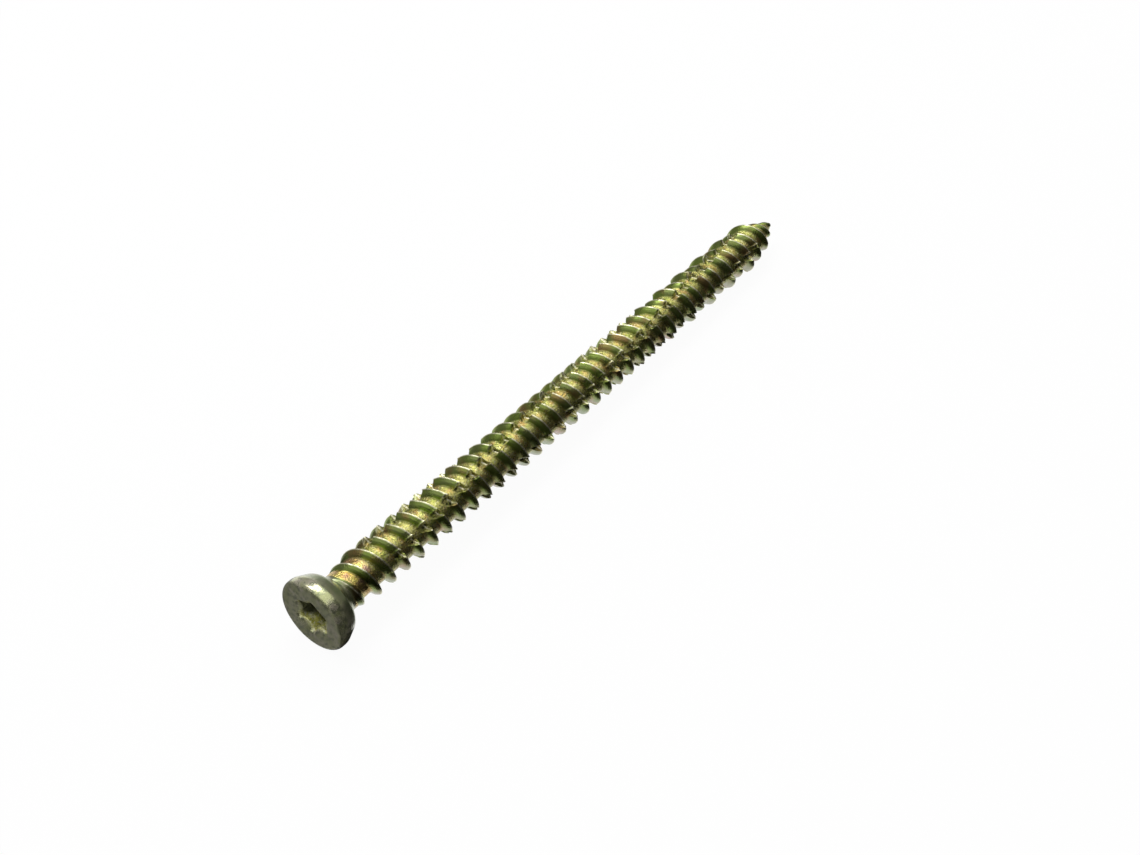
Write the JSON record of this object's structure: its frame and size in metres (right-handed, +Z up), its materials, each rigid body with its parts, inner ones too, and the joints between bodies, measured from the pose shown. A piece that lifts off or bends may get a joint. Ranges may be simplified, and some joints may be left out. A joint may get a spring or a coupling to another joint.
{
  "type": "window frame screw",
  "caption": "Long self-tapping frame screw with a low cylinder head, six-lobe recess and notched two-start thread, for fixing window frames straight to the wall.",
  "frame": {"origin": "middle of the lying screw's length and width, on the surface it lies on", "axes": "+X along the screw from the head to the point, +Z up; the axis dips about 1 degree towards the point, because the head is wider than the thread"},
  "size_m": [0.112, 0.011, 0.011],
  "materials": {
    "yellow_zinc_steel": "bright yellow zinc plating, olive to gold"
  },
  "bodies": {
    "root": {"screw": "yellow_zinc_steel"}
  },
  "joints": []
}
